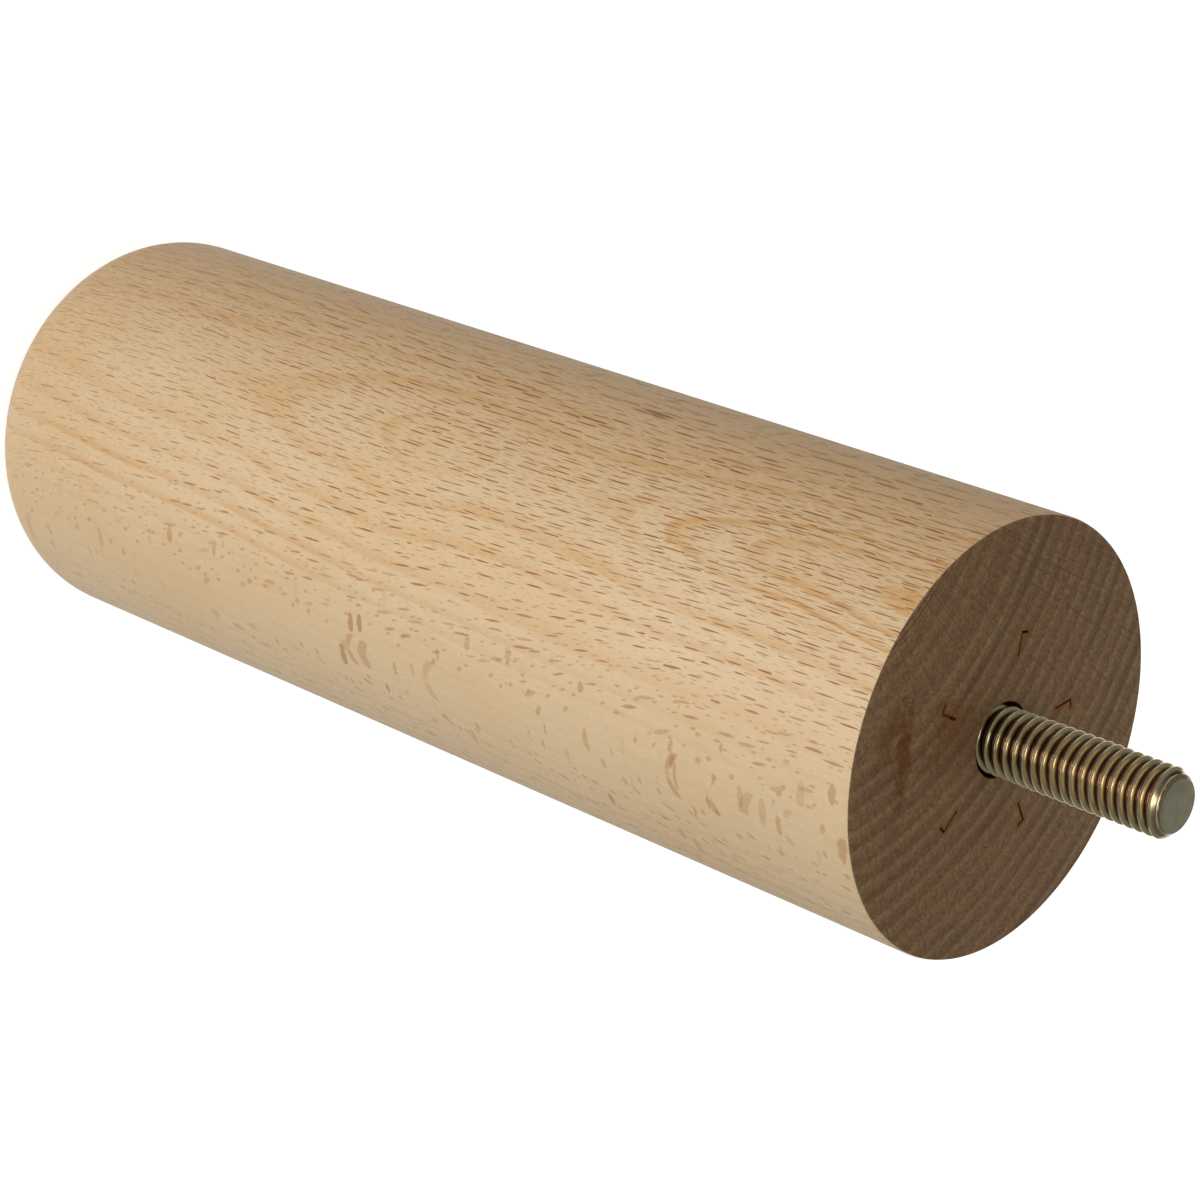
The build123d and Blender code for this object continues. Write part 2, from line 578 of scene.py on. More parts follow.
# %% [markdown]
# ## Rays on the side
#
# A ray that is cut across is a dark pore-like dash, and one that is cut along is a lighter orange
# fleck. Both stand out less near the foot. The broad flecks show only where the cut runs almost
# along the rays.
# %% Beech: rays on the side
RAY_DASH = colour("#905408")
RAY_FLECK = colour("#a86824")
FINE_RAY_BROWN = colour("#b4824f")
FINE_RAY_STRENGTH = 0.5
BROAD_RAY_STRENGTH = (0.5, 1.05)
ALONG_STRENGTH = 0.45  # a ray cut along its length shows this share of a dash's strength
FLECK_STRENGTH = 0.65
FLECK_CUT = (0.5, 0.2)  # how squarely the side faces the pith, from no flecks to all of them
FAINT_AT_FOOT = 0.5
FULL_HEIGHTS = (5.0, 75.0)  # heights between which the rays come up to strength

broad_share = add(
    wood,
    "MapRange",
    {"Value": broad_chance, "To Min": BROAD_RAY_STRENGTH[0], "To Max": BROAD_RAY_STRENGTH[1]},
)
across_share = add(wood, "MapRange", {"Value": rays_cut_across, "To Min": ALONG_STRENGTH})
towards_top = add(
    wood,
    "MapRange",
    {
        "Value": own_height,
        "From Min": FULL_HEIGHTS[0],
        "From Max": FULL_HEIGHTS[1],
        "To Min": FAINT_AT_FOOT,
    },
)
cut_along = add(
    wood,
    "MapRange",
    {"Value": cut_angle, "From Min": FLECK_CUT[0], "From Max": FLECK_CUT[1]},
    interpolation_type="SMOOTHSTEP",
)
fleck_share = add(
    wood,
    "MapRange",
    {"Value": fleck_chance, "From Min": 0.2, "To Max": FLECK_STRENGTH},
)
ray_colour = coated(RAY_FLECK, (rays_cut_across, RAY_DASH))
side_colour = coated(
    side_colour,
    (overlap(fine_rays, FINE_RAY_STRENGTH), FINE_RAY_BROWN),
    (overlap(broad_share, towards_top, across_share, broad_rays), ray_colour),
    (overlap(fleck_share, towards_top, cut_along, flecks), RAY_FLECK),
)
print("side: rays at full strength from z", FULL_HEIGHTS[1], "mm up")

# %% [markdown]
# ## A dark streak
#
# One short dark streak, such as a bruise in the growing tree leaves, lies two thirds of the way up.
# Its mask is the distance from its middle, measured in its own half sizes, with the fibre streaks
# added so that its edge breaks up along the grain.
# %% Beech: the dark streak
BRUISE_BROWN = colour("#7a3c0c")
BRUISE_PLACE = (-21.0, -13.5, 100.0)
BRUISE_SIZE = (0.5, 0.4, 3.2)
BRUISE_RAGGEDNESS = 0.8
BRUISE_EDGE = (1.5, 0.9)  # from its outside to its inside, in half sizes
BRUISE_STRENGTH = 0.8

bruise_centred = add(
    wood,
    "Mapping",
    {"Vector": own_place, "Location": tuple(-side for side in BRUISE_PLACE)},
)
bruise_shape = add(
    wood,
    "VectorMath",
    {0: bruise_centred, 1: tuple(1 / side for side in BRUISE_SIZE)},
    operation="MULTIPLY",
)
bruise_reach = add(wood, "VectorMath", {0: bruise_shape}, operation="LENGTH").outputs["Value"]
bruise_ragged = add(
    wood,
    "Math",
    {0: streaks, 1: BRUISE_RAGGEDNESS, 2: bruise_reach},
    operation="MULTIPLY_ADD",
)
bruise = add(
    wood,
    "MapRange",
    {
        "Value": bruise_ragged,
        "From Min": BRUISE_EDGE[0],
        "From Max": BRUISE_EDGE[1],
        "To Max": BRUISE_STRENGTH,
    },
    interpolation_type="SMOOTHSTEP",
)
side_colour = coated(side_colour, (bruise, BRUISE_BROWN))
print("dark streak at", BRUISE_PLACE, "mm")

# %% [markdown]
# ## The colour of the end
#
# The sawn end shows the same rings and rays in a darker brown, over a mottled ground. Its year
# starts with a pale edge, and the dark part of it takes up more of the year than on the side.
# %% Beech: rings and rays on the end
END_BROWN = colour("#a28258")
END_LATE = colour("#6d4d33")
END_SPRING = colour("#bb9d77")
END_RED = colour("#8c6648")
END_RAY = colour("#7a5b3e")
MOTTLE = (0.6, 0.6, 5.0)
CLOUD = (3.5, 3.5, 30.0)
CLOUD_STRENGTH = 0.4
END_RISE = (0.1, 0.75)  # parts of a year between which the end's wood darkens
END_FALL = (1.0, 0.82)
SPRING_EDGE = (0.4, 0.02)  # part of a year at which the pale spring wood is gone, and is full
END_BAND_STRENGTH = 0.75
SPRING_STRENGTH = 0.25
END_BROAD_STRENGTH = 0.5
END_FINE_STRENGTH = 0.35

mottled = add(
    wood,
    "MapRange",
    {"Value": blotches(MOTTLE, 3.0, 0.6), "From Min": 0.38, "From Max": 0.62},
)
clouded = add(
    wood,
    "MapRange",
    {"Value": blotches(CLOUD, 2.0, 0.5), "From Min": 0.4, "From Max": 0.65, "To Max": CLOUD_STRENGTH},
)
end_rise = add(
    wood,
    "MapRange",
    {"Value": in_year, "From Min": END_RISE[0], "From Max": END_RISE[1]},
    interpolation_type="SMOOTHSTEP",
)
end_fall = add(
    wood,
    "MapRange",
    {"Value": in_year, "From Min": END_FALL[0], "From Max": END_FALL[1]},
    interpolation_type="SMOOTHSTEP",
)
spring = add(
    wood,
    "MapRange",
    {"Value": in_year, "From Min": SPRING_EDGE[0], "From Max": SPRING_EDGE[1]},
)
end_colour = coated(
    END_BROWN,
    (mottled, END_RED),
    (clouded, END_RED),
    (overlap(late_strength, END_BAND_STRENGTH, end_rise, end_fall, year_share), END_LATE),
    (overlap(spring, year_share, SPRING_STRENGTH), END_SPRING),
    (overlap(broad_rays, END_BROAD_STRENGTH), END_RAY),
    (overlap(fine_rays, END_FINE_STRENGTH), END_LATE),
)
print("end: mottled in blotches of", MOTTLE[0], "mm")

# %% [markdown]
# ## Stains on the end
#
# Near the front edge of the end reddish stains lie across the rings, and a fainter one lies beside
# the bolt. Each is an oval on the leg's top whose edge a noise tears up.
# %% Beech: stains on the end
STAIN_BROWN = colour("#743f14")
STAIN_BLOTCH = (1.1, 1.1, 8.0)
STAIN_DEPTH = 6.0
STAIN_RAGGEDNESS = 2.6
STAIN_EDGE = (2.5, 1.5)  # from its outside to its inside, in half sizes and with the noise added

stain_noise = blotches(STAIN_BLOTCH, 4.0, 0.65)


def stain(middle, turned, half_length, half_width, strength):
    """A ragged patch on the leg's top: its middle in millimetres, its turn in degrees, its sizes."""
    centred = add(
        wood,
        "Mapping",
        {"Vector": own_place, "Location": (-middle[0], -middle[1], -leg_length)},
    )
    lengthwise = add(
        wood,
        "VectorRotate",
        {"Vector": centred, "Angle": radians(-turned)},
        rotation_type="Z_AXIS",
    )
    in_half_sizes = add(
        wood,
        "VectorMath",
        {0: lengthwise, 1: (1 / half_length, 1 / half_width, 1 / STAIN_DEPTH)},
        operation="MULTIPLY",
    )
    reach = add(wood, "VectorMath", {0: in_half_sizes}, operation="LENGTH").outputs["Value"]
    ragged = add(
        wood,
        "Math",
        {0: stain_noise, 1: STAIN_RAGGEDNESS, 2: reach},
        operation="MULTIPLY_ADD",
    )
    return add(
        wood,
        "MapRange",
        {"Value": ragged, "From Min": STAIN_EDGE[0], "From Max": STAIN_EDGE[1], "To Max": strength},
        interpolation_type="SMOOTHSTEP",
    )


beside_bolt = stain((1.5, -9.0), turned=-30.0, half_length=7.0, half_width=4.5, strength=0.4)
at_the_rim = stain((4.0, -19.4), turned=8.0, half_length=4.5, half_width=1.6, strength=0.5)
across_rings = stain((5.0, -16.0), turned=24.0, half_length=7.5, half_width=1.5, strength=0.8)
end_colour = coated(
    end_colour,
    (beside_bolt, STAIN_BROWN),
    (at_the_rim, STAIN_BROWN),
    (across_rings, STAIN_BROWN),
)
print("end: three stains")

# %% [markdown]
# ## Torn wood beside the drive centre's marks
#
# The lathe's drive centre left five marks in the end, and the wood that its teeth tore is redder.
# The pattern is worked out for one mark and repeated by folding the bearing: the circle is cut into
# five equal sectors, and every place is measured from the mark in its own sector.
# %% Beech: torn wood beside the marks
CRUSHED_WOOD = colour("#935629")
FRINGE_BROWN = colour("#955820")
TOOTH_COUNT = 5
FIRST_TOOTH_ANGLE = 53.0
TOOTH_OUTER_RADIUS = 12.2
TOOTH_LENGTH = 3.0
TOOTH_HOOK = 1.3
TOOTH_WIDTH = 0.4
FRINGE = 0.45  # width of the torn wood beside each mark
MARKS_REACH = 12.6  # the marks lie inside this radius
MARKS_FADE = 0.3
CRUSHED_FROM = 0.02  # depths under the top between which a mark's walls turn to crushed wood
CRUSHED_TO = 0.12
SECTOR = 2 * pi / TOOTH_COUNT

below_top = add(
    wood,
    "MapRange",
    {"Value": own_height, "From Min": leg_length - CRUSHED_FROM, "From Max": leg_length - CRUSHED_TO},
)
near_axis = add(
    wood,
    "MapRange",
    {"Value": from_axis, "From Min": MARKS_REACH + MARKS_FADE, "From Max": MARKS_REACH},
)
crushed = overlap(below_top, near_axis)

bearing = add(wood, "Math", {0: own_axes.outputs["Y"], 1: own_axes.outputs["X"]}, operation="ARCTAN2")
from_tooth = add(
    wood,
    "Math",
    {0: bearing, 1: SECTOR / 2 - radians(FIRST_TOOTH_ANGLE)},
    operation="ADD",
)
in_sector = add(wood, "Math", {0: from_tooth, 1: SECTOR}, operation="FLOORED_MODULO")
off_tooth = add(wood, "Math", {0: in_sector, 1: SECTOR / 2}, operation="SUBTRACT")
beside_tooth = add(wood, "Math", {0: off_tooth, 1: from_axis}, operation="MULTIPLY")


def torn(distance, low, high):
    """1 from low to high, and fading out over the width of the fringe beyond them."""
    away = add(wood, "Math", {0: distance, 1: (low + high) / 2}, operation="SUBTRACT")
    off_middle = add(wood, "Math", {0: away}, operation="ABSOLUTE")
    half = (high - low) / 2
    return add(wood, "MapRange", {"Value": off_middle, "From Min": half + FRINGE, "From Max": half})


along_slit = overlap(
    torn(beside_tooth, -TOOTH_WIDTH, 0.0),
    torn(from_axis, TOOTH_OUTER_RADIUS - TOOTH_LENGTH, TOOTH_OUTER_RADIUS),
)
along_hook = overlap(
    torn(beside_tooth, -TOOTH_HOOK, 0.0),
    torn(from_axis, TOOTH_OUTER_RADIUS - TOOTH_WIDTH, TOOTH_OUTER_RADIUS),
)
beside_marks = add(wood, "Math", {0: along_slit, 1: along_hook}, operation="MAXIMUM")
fringe_ragged = add(
    wood,
    "MapRange",
    {"Value": grain, "From Min": 0.3, "From Max": 0.6, "To Min": 0.2},
)
end_colour = coated(end_colour, (overlap(beside_marks, fringe_ragged), FRINGE_BROWN))
print(f"torn wood: {FRINGE} mm wide beside {TOOTH_COUNT} marks")

# %% [markdown]
# ## The finished beech
#
# Streaks and a fine grain change the brightness a little, more on the rough end than on the sanded
# side. The leg was left bare, so it is nearly matt. Sanding leaves the streaks a few hundredths of
# a millimetre out of level.
# %% Beech: brightness and surface
STREAK_RELIEF = 0.02  # millimetres
SIDE_ROUGHNESS = 0.55
END_ROUGHNESS = 0.95
SIDE_GRAIN = 0.16  # how much the grain changes the brightness, where the end's change is 1

wood_colour = coated(side_colour, (end_grain, end_colour), (crushed, CRUSHED_WOOD))
streak_shade = add(
    wood,
    "MapRange",
    {"Value": streaks, "From Min": 0.25, "From Max": 0.75, "To Min": 0.94, "To Max": 1.05},
)
grain_depth = add(wood, "MapRange", {"Value": end_grain, "To Min": SIDE_GRAIN})
wood_shade = add(
    wood,
    "Math",
    {0: grain_about_zero, 1: grain_depth, 2: streak_shade},
    operation="MULTIPLY_ADD",
)
shaded = add(wood, "VectorMath", {0: wood_colour, "Scale": wood_shade}, operation="SCALE")
relief = add(wood, "Bump", {"Height": streaks, "Strength": 0.5, "Distance": STREAK_RELIEF * MM})
matt = add(wood, "MapRange", {"Value": end_grain, "To Min": SIDE_ROUGHNESS, "To Max": END_ROUGHNESS})
wood.links.new(shaded.outputs[0], beech_shader.inputs["Base Color"])
wood.links.new(relief.outputs[0], beech_shader.inputs["Normal"])
wood.links.new(matt.outputs[0], beech_shader.inputs["Roughness"])
beech_shader.inputs["IOR"].default_value = 1.5
beech_shader.inputs["Specular IOR Level"].default_value = 0.4
print("beech:", len(wood.nodes), "nodes")

# %% [markdown]
# ## The turned leg
#
# A turner sees a leg as one outline spun about its axis, and so does Blender's spin. The outline
# goes from the middle of the foot round the foot's rounding, up the side, over the sanded rim and
# down into the hole for the bolt.
# %% Leg: the outline on the lathe
FOOT_ROUNDING = 8.0
ROUNDING_STEPS = 14
TOP_EDGE_BREAK = 0.4
EDGE_SOFTNESS = 0.3  # the share of the edge break at which its middle point lies
MOUTH_CLEARANCE = 0.35
MOUTH_DEPTH = 6.0
PILOT_RADIUS = 2.9
PILOT_DEPTH = 29.0
DRILL_POINT_ANGLE = 59.0  # degrees between the drill's axis and its cutting edge
LATHE_STEPS = 160


def leg_outline():
    """Points of the leg's half section as (radius, height), from the foot's middle into the hole."""
    face_radius = leg_radius - FOOT_ROUNDING
    points = [(0.0, 0.0), (face_radius, 0.0)]
    for step in range(1, ROUNDING_STEPS + 1):
        angle = pi / 2 * step / ROUNDING_STEPS
        radius = face_radius + FOOT_ROUNDING * sin(angle)
        height = FOOT_ROUNDING - FOOT_ROUNDING * cos(angle)
        points.append((radius, height))
    softened = TOP_EDGE_BREAK * EDGE_SOFTNESS
    mouth_radius = thread_radius + MOUTH_CLEARANCE
    drill_point = PILOT_RADIUS / tan(radians(DRILL_POINT_ANGLE))
    points += [
        (leg_radius, leg_length - TOP_EDGE_BREAK),
        (leg_radius - softened, leg_length - softened),
        (leg_radius - TOP_EDGE_BREAK, leg_length),
        (mouth_radius, leg_length),
        (mouth_radius, leg_length - MOUTH_DEPTH),
        (PILOT_RADIUS, leg_length - MOUTH_DEPTH),
        (PILOT_RADIUS, leg_length - PILOT_DEPTH),
        (0.0, leg_length - PILOT_DEPTH - drill_point),
    ]
    return points


def spin_outline(points, steps):
    """A closed solid of revolution about Z from an outline that starts and ends on the axis."""
    bm = bmesh.new()
    verts = [bm.verts.new((radius * MM, 0.0, height * MM)) for radius, height in points]
    edges = [bm.edges.new(pair) for pair in zip(verts, verts[1:])]
    bmesh.ops.spin(
        bm,
        geom=verts + edges,
        cent=(0, 0, 0),
        axis=(0, 0, 1),
        angle=2 * pi,
        steps=steps,
        use_merge=True,
        use_duplicate=False,
    )
    bmesh.ops.remove_doubles(bm, verts=bm.verts, dist=SAME_POINT)
    return bm


leg = make_object("leg_turned", spin_outline(leg_outline(), LATHE_STEPS), beech)

# %% [markdown]
# ## The drive centre's marks
#
# The lathe drove the leg with five small chisel teeth, and each left a slit in the end grain that
# was dragged a short way round at its outer end. They are cut as real slits with a Boolean
# modifier, whose cutters are wedges made from a cube with its lower edges drawn together.
# %% Leg: tooth marks
TOOTH_DEPTH = 0.8
TOOTH_NARROWING = 0.7  # width at the bottom as a share of the width at the top
TOOTH_SHORTENING = 0.9  # and its length there as a share of its length at the top


def wedge(bm, low_x, high_x, low_y, high_y, turn_by):
    """A cutter from above the leg's top down to a mark's depth, narrower at the bottom."""
    made = bmesh.ops.create_cube(bm, size=1.0)["verts"]
    middle = Vector(((low_x + high_x) / 2, (low_y + high_y) / 2, leg_length)) * MM
    size = Vector((high_x - low_x, high_y - low_y, 2 * TOOTH_DEPTH)) * MM
    bmesh.ops.scale(bm, vec=size, verts=made)
    bottom = [vert for vert in made if vert.co.z < 0]
    drawn_in = (TOOTH_SHORTENING, TOOTH_NARROWING, 1.0)
    if size.x < size.y:
        drawn_in = (TOOTH_NARROWING, TOOTH_SHORTENING, 1.0)
    bmesh.ops.scale(bm, vec=drawn_in, verts=bottom)
    bmesh.ops.translate(bm, vec=middle, verts=made)
    bmesh.ops.rotate(bm, cent=(0, 0, 0), matrix=Matrix.Rotation(turn_by, 3, "Z"), verts=made)


def cut(target, cutter):
    """Subtracts one object from another for good, and removes the cutter."""
    boolean = target.modifiers.new("marks", "BOOLEAN")
    boolean.operation = "DIFFERENCE"
    boolean.object = cutter
    boolean.solver = "EXACT"
    evaluated = target.evaluated_get(bpy.context.evaluated_depsgraph_get())
    old_mesh = target.data
    target.data = bpy.data.meshes.new_from_object(evaluated)
    target.modifiers.clear()
    bpy.data.meshes.remove(old_mesh)
    bpy.data.objects.remove(cutter)


radial_cuts = bmesh.new()
hook_cuts = bmesh.new()
slit_start = TOOTH_OUTER_RADIUS - TOOTH_LENGTH
hook_start = TOOTH_OUTER_RADIUS - TOOTH_WIDTH
for tooth in range(TOOTH_COUNT):
    tooth_angle = radians(FIRST_TOOTH_ANGLE) + tooth * SECTOR
    wedge(radial_cuts, slit_start, TOOTH_OUTER_RADIUS, -TOOTH_WIDTH, 0.0, tooth_angle)
    wedge(hook_cuts, hook_start, TOOTH_OUTER_RADIUS, -TOOTH_HOOK, 0.0, tooth_angle)
for name, cuts in (("radial_cuts", radial_cuts), ("hook_cuts", hook_cuts)):
    cut(leg, make_object(name, cuts, beech))
leg.data.shade_smooth()
leg.data.set_sharp_from_angle(angle=radians(SHARP_EDGE))
print("leg after its marks:", len(leg.data.polygons), "faces")

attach(leg, "root")
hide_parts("leg")

# %% [markdown]
# ## Zinc-plated steel
#
# The bolt's thread is rolled and then plated bright. Metal has almost no colour of its own: it
# shows the room, so what matters is how rough it is. The roots are darkened with painted shade,
# which the distance from the axis finds, and the crests keep the plating's colour. On the chamfer's
# turns the painted shade is half as strong, and the sawn face of the tip is a little greyer.
# %% Steel: crests, roots and tip
# The first colour is a painted shade for the thread's roots, not dirt.
ROOT_SHADE_COLOUR = colour("#5a4237")
PLATING_COLOUR = colour("#cfbb90")
TIP_COLOUR = colour("#a79d80")
ROOT_SHADE_RADIUS = thread_radius - 0.66  # painted shade fills the thread's roots up to here
# From this radius out the crests keep the plating's colour, without painted shade.
UNSHADED_RADIUS = thread_radius - 0.3
CHAMFERED_LENGTH = 0.8
TIP_FACE = 0.02

steel, metal, steel_shader = new_material("steel_rolled_and_zinc_plated")
metal_place = add(metal, "TexCoord")
in_mm = add(metal, "Mapping", {"Vector": metal_place.outputs["Object"], "Scale": TO_MILLIMETRES})
metal_height = add(metal, "SeparateXYZ", {0: in_mm}).outputs["Z"]
flat = add(metal, "VectorMath", {0: in_mm, 1: IN_PLAN}, operation="MULTIPLY")
off_axis = add(metal, "VectorMath", {0: flat}, operation="LENGTH")
crest = add(
    metal,
    "MapRange",
    {"Value": off_axis.outputs["Value"], "From Min": ROOT_SHADE_RADIUS, "From Max": UNSHADED_RADIUS},
    interpolation_type="SMOOTHSTEP",
)
at_end = add(
    metal,
    "Math",
    {0: metal_height, 1: bolt_end - CHAMFERED_LENGTH},
    operation="GREATER_THAN",
)
half_unshaded = add(metal, "Math", {0: at_end, 1: 0.5}, operation="MULTIPLY")
unshaded = add(metal, "Math", {0: crest, 1: half_unshaded}, operation="MAXIMUM")
at_tip_face = add(metal, "Math", {0: metal_height, 1: bolt_end - TIP_FACE}, operation="GREATER_THAN")
# The colour starts as the painted root shade; the plating covers it on the crests and, half, on the
# chamfer.
steel_colour = ROOT_SHADE_COLOUR
for mask, tint in ((unshaded, PLATING_COLOUR), (at_tip_face, TIP_COLOUR)):
    mixed = add(metal, "Mix", {0: mask, 6: steel_colour, 7: tint}, data_type="RGBA")
    steel_colour = mixed.outputs[2]
print(f"steel: painted_root_shade up to a radius of {ROOT_SHADE_RADIUS:.2f} mm")

# %% [markdown]
# ## The plating's mottle
#
# Plating is never quite even. Its real grain is too fine to show in a picture, so one noise, drawn
# as coarse as it needs to show, changes the brightness and the gloss a little and leaves the
# faintest pits.
# %% Steel: mottle and gloss
PLATING_GRIT = 1.1  # size of the mottle in millimetres, coarser than the real plating's
MOTTLE_RANGE = (0.3, 0.7)
BRIGHTNESS = (0.95, 1.03)
STEEL_ROUGHNESS = (0.18, 0.26)
PIT_DEPTH = 0.02

unevenness = add(
    metal,
    "TexNoise",
    {"Vector": in_mm, "Scale": 1 / PLATING_GRIT, "Detail": 4.0, "Roughness": 0.6},
)
metal_shade, gloss = [
    add(
        metal,
        "MapRange",
        {
            "Value": unevenness,
            "From Min": MOTTLE_RANGE[0],
            "From Max": MOTTLE_RANGE[1],
            "To Min": low,
            "To Max": high,
        },
    )
    for low, high in (BRIGHTNESS, STEEL_ROUGHNESS)
]
plated = add(metal, "VectorMath", {0: steel_colour, "Scale": metal_shade}, operation="SCALE")
pits = add(metal, "Bump", {"Height": unevenness, "Strength": 0.1, "Distance": PIT_DEPTH * MM})
metal.links.new(plated.outputs[0], steel_shader.inputs["Base Color"])
metal.links.new(gloss.outputs[0], steel_shader.inputs["Roughness"])
metal.links.new(pits.outputs[0], steel_shader.inputs["Normal"])
steel_shader.inputs["Metallic"].default_value = 1.0
print(f"steel: roughness {STEEL_ROUGHNESS[0]} to {STEEL_ROUGHNESS[1]}")

# %% [markdown]
# ## The threads
#
# A thread is a short zigzag that is spun about the axis while it climbs one pitch a turn. Blender's
# spin does both at once when it is given a step along the axis. The zigzag is exactly one pitch
# tall, so each turn meets the one before and the doubles merge into one skin. Its crest and its
# root are slightly rounded, as a rolling die leaves them.
# %% Bolt: a helical skin
TURN_STEPS = 56
TURNS_BELOW = 1.5  # turns that start below the skin and are cut off again
SPARE_TURNS = 4


def helical_skin(bm, section, pitch, low, high):
    """Winds a section of one pitch once round, stacks copies of that turn and cuts off both ends."""
    start = low - TURNS_BELOW * pitch
    turns = int((high - low) / pitch) + SPARE_TURNS
    verts = [bm.verts.new((radius * MM, 0.0, (start + height) * MM)) for radius, height in section]
    edges = [bm.edges.new(pair) for pair in zip(verts, verts[1:])]
    bmesh.ops.spin(
        bm,
        geom=verts + edges,
        cent=(0, 0, 0),
        axis=(0, 0, 1),
        dvec=(0, 0, pitch * MM / TURN_STEPS),
        angle=2 * pi,
        steps=TURN_STEPS,
        use_merge=False,
        use_duplicate=False,
    )
    first_turn = bm.verts[:] + bm.edges[:] + bm.faces[:]
    for turn in range(1, turns):
        copied = bmesh.ops.duplicate(bm, geom=first_turn)["geom"]
        lifted = [part for part in copied if isinstance(part, bmesh.types.BMVert)]
        bmesh.ops.translate(bm, vec=(0, 0, turn * pitch * MM), verts=lifted)
    bmesh.ops.remove_doubles(bm, verts=bm.verts, dist=2 * SAME_POINT)
    for height, above in ((low, False), (high, True)):
        bmesh.ops.bisect_plane(
            bm,
            geom=bm.verts[:] + bm.edges[:] + bm.faces[:],
            dist=1e-8,
            plane_co=(0, 0, height * MM),
            plane_no=(0, 0, 1),
            clear_outer=above,
            clear_inner=not above,
        )


def turn_down(bm, limit):
    """Cuts the skin back to the radius that limit gives for each height, as a lathe tool would."""
    for vert in bm.verts:
        radius = vert.co.xy.length
        allowed = limit(vert.co.z / MM) * MM
        if radius > allowed:
            vert.co.xy *= allowed / radius


def cap(bm, height):
    """Closes the skin's open rim at one height with a flat face."""
    rim = []
    for edge in bm.edges:
        level = all(abs(vert.co.z - height * MM) < SAME_POINT / 5 for vert in edge.verts)
        if edge.is_boundary and level:
            rim.append(edge)
    bmesh.ops.contextual_create(bm, geom=rim)


# %% [markdown]
# ## The bolt
#
# The part that shows is an M8 thread with a pitch of 1.25 mm and a short chamfer at its end. Just
# below the wood it runs out into the plain shank, and the coarse screw thread below that holds the
# bolt in the leg. All of it is modelled, because the piece stands for the whole solid.
# %% Bolt: machine thread, shank and wood screw
PITCH = 1.25
THREAD_DEPTH = 0.72
CREST_FLAT = 0.2
ROOT_FLAT = 0.22
THREAD_ROUNDING = 0.3  # share of the flank that its rounded corners take up at each end
TIP_CHAMFER = 1.0
THREAD_ALLOWANCE = 0.1  # a plated M8 thread measures a little under 8 mm
THREAD_RUNOUT = 1.5
SHANK_RADIUS = 3.5
SHANK_LENGTH = 4.5
SCREW_PITCH = 4.0
SCREW_CREST_FLAT = 0.3
SCREW_ROOT_FLAT = 2.3
SCREW_ROUNDING = 0.1
SCREW_CORE_RADIUS = 2.8
SCREW_RUNOUT = 3.0
POINT_LENGTH = 6.0
POINT_RADIUS = 0.4
OVERLAP = 0.1  # how far the shank reaches into the thread on each side of it


def thread_section(root, crest_radius, pitch, root_flat, crest_flat, rounding):
    """One pitch of thread as (radius, height), its corners rounded by a share of the flank's height."""
    flank = (pitch - root_flat - crest_flat) / 2
    bend = rounding * (crest_radius - root)
    run = rounding * flank
    flank_start = root_flat / 2
    flank_end = flank_start + flank
    corner = ((0.15, 0.0), (0.5, 0.55), (1.0, 1.0))  # shares of the bend and of the run
    rising = [(root, 0.0)]
    rising += [(root + bend * out, flank_start + run * up) for out, up in corner]
    rising += [(crest_radius - bend * out, flank_end - run * up) for out, up in reversed(corner)]
    rising.append((crest_radius, pitch / 2))
    falling = [(radius, pitch - height) for radius, height in reversed(rising[:-1])]
    return rising + falling


def machine_limit(height):
    """Largest radius of the machine thread at a height: the run-out below and the chamfer above."""
    thread_height = thread_radius - SHANK_RADIUS
    runout = SHANK_RADIUS + thread_height * (height - shank_top) / THREAD_RUNOUT
    chamfer = thread_radius - TIP_CHAMFER + (bolt_end - height)
    return min(thread_radius, runout, chamfer)


def screw_limit(height):
    """Largest radius of the wood screw at a height: a cone at the point and a run-out at each end."""
    if height < cone_top:
        slope = (SCREW_CORE_RADIUS - POINT_RADIUS) / POINT_LENGTH
        return POINT_RADIUS + slope * (height - bolt_point)
    slope = (thread_radius - SCREW_CORE_RADIUS) / SCREW_RUNOUT
    fade_in = SCREW_CORE_RADIUS + slope * (height - cone_top)
    fade_out = SCREW_CORE_RADIUS + slope * (screw_top - height)
    return max(SCREW_CORE_RADIUS, min(thread_radius, fade_in, fade_out))


shank_top = leg_length - THREAD_RUNOUT
screw_top = shank_top - SHANK_LENGTH
cone_top = bolt_point + POINT_LENGTH
crest_radius = thread_radius - THREAD_ALLOWANCE

bolt_mesh = bmesh.new()
fine_section = thread_section(
    root=crest_radius - THREAD_DEPTH,
    crest_radius=crest_radius,
    pitch=PITCH,
    root_flat=ROOT_FLAT,
    crest_flat=CREST_FLAT,
    rounding=THREAD_ROUNDING,
)
helical_skin(bolt_mesh, fine_section, PITCH, shank_top, bolt_end)
turn_down(bolt_mesh, machine_limit)
cap(bolt_mesh, bolt_end)
cap(bolt_mesh, shank_top)

screw_mesh = bmesh.new()
coarse_section = thread_section(
    root=SCREW_CORE_RADIUS,
    crest_radius=thread_radius,
    pitch=SCREW_PITCH,
    root_flat=SCREW_ROOT_FLAT,
    crest_flat=SCREW_CREST_FLAT,
    rounding=SCREW_ROUNDING,
)
helical_skin(screw_mesh, coarse_section, SCREW_PITCH, bolt_point, screw_top)
turn_down(screw_mesh, screw_limit)
cap(screw_mesh, bolt_point)
cap(screw_mesh, screw_top)

